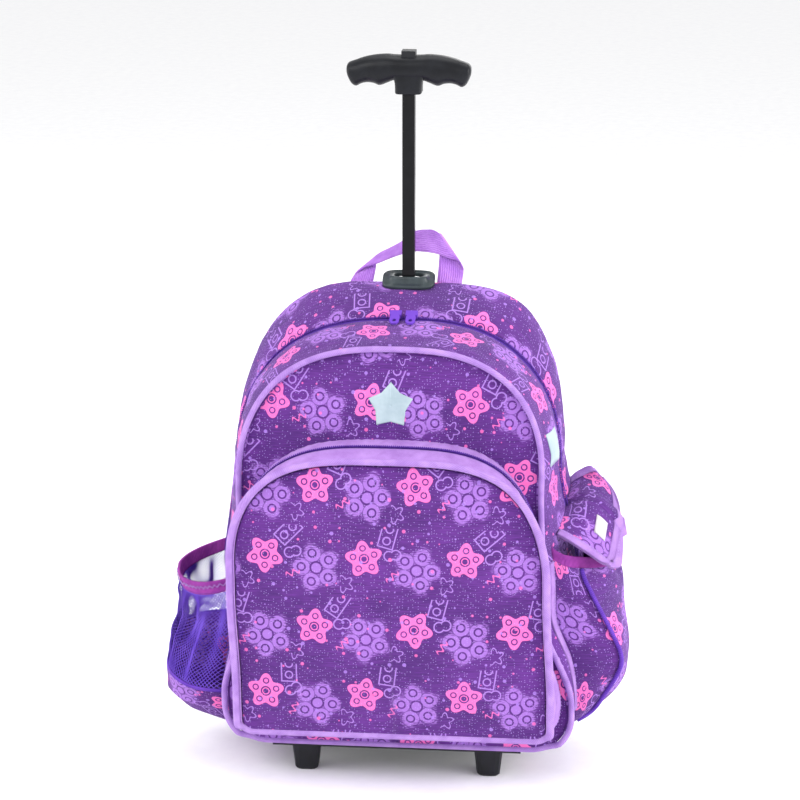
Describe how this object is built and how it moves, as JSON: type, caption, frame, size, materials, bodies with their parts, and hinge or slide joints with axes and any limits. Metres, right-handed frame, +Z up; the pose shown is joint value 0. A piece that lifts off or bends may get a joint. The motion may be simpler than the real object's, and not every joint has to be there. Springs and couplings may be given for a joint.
{
  "type": "wheeled backpack",
  "caption": "Child's rolling backpack with a pull-up trolley handle, front pocket, net and flap side pockets, padded shoulder straps, carry loop, wheels and front feet.",
  "frame": {"origin": "centre of the bounding box's bottom, on the floor that the wheels and feet stand on", "axes": "+Z up the trolley pole, +Y to the back panel with the shoulder straps, +X to the flap pouch's side"},
  "size_m": [0.4418, 0.2364, 0.6737],
  "materials": {
    "printed_cloth": "printed polyester, low sheen",
    "lilac_trim": "woven trim, matt",
    "zip_tape": "woven tape with moulded teeth",
    "violet_webbing": "ribbed webbing",
    "black_plastic": "fine grain",
    "black_metal": "satin powder coat",
    "grey_plastic": "satin",
    "tyre": "matt",
    "axle_steel": "brushed",
    "padded_cloth": "padded woven cloth",
    "magenta_rim": "elastic binding",
    "violet_net": "knitted net"
  },
  "bodies": {
    "bag": {"rear_shell": "printed_cloth", "front_shell": "printed_cloth", "main_piping": "lilac_trim", "main_zip": "zip_tape", "main_slider_left": "violet_webbing", "main_slider_right": "violet_webbing", "pocket_band_back": "lilac_trim", "pocket_band_front": "lilac_trim", "pocket_zip": "zip_tape", "pocket_face": "printed_cloth", "pocket_piping": "lilac_trim", "sleeve_tube": "black_plastic", "grommet": "grey_plastic", "base_plate": "black_plastic", "foot_left": "black_plastic", "axle_left": "axle_steel", "foot_right": "black_plastic", "axle_right": "axle_steel", "carry_loop": "lilac_trim", "strap_pad_left": "padded_cloth", "adjuster_left": "black_plastic", "strap_tail_left": "violet_webbing", "strap_pad_right": "padded_cloth", "adjuster_right": "black_plastic", "strap_tail_right": "violet_webbing", "net_rim": "magenta_rim", "net_pocket": "violet_net", "net_base": "printed_cloth", "net_tape": "lilac_trim", "pouch_rim": "magenta_rim", "pouch": "printed_cloth", "pouch_tape": "lilac_trim", "pouch_piping": "violet_webbing", "pouch_flap": "printed_cloth", "flap_binding": "lilac_trim"},
    "trolley": {"pole": "black_metal", "grip": "black_plastic"},
    "button": {"release_button": "black_plastic"},
    "wheel_left": {"tyre_left": "tyre", "hub_left": "black_plastic"},
    "wheel_right": {"tyre_right": "tyre", "hub_right": "black_plastic"}
  },
  "joints": [
    {"name": "trolley_slide", "type": "slide", "parent": "bag", "child": "trolley", "axis": [0, 0, 1], "range_m": [-0.166, 0]},
    {"name": "button_press", "type": "slide", "parent": "trolley", "child": "button", "axis": [0, 0, 1], "range_m": [-0.0035, 0], "stiffness_N_per_m": 600, "springref_m": 0.0015},
    {"name": "wheel_left_spin", "type": "hinge", "parent": "bag", "child": "wheel_left", "pos_m": [-0.10515, 0.06694, 0.03], "axis": [1, 0, 0], "continuous": true},
    {"name": "wheel_right_spin", "type": "hinge", "parent": "bag", "child": "wheel_right", "pos_m": [0.11485, 0.06694, 0.03], "axis": [1, 0, 0], "continuous": true}
  ]
}
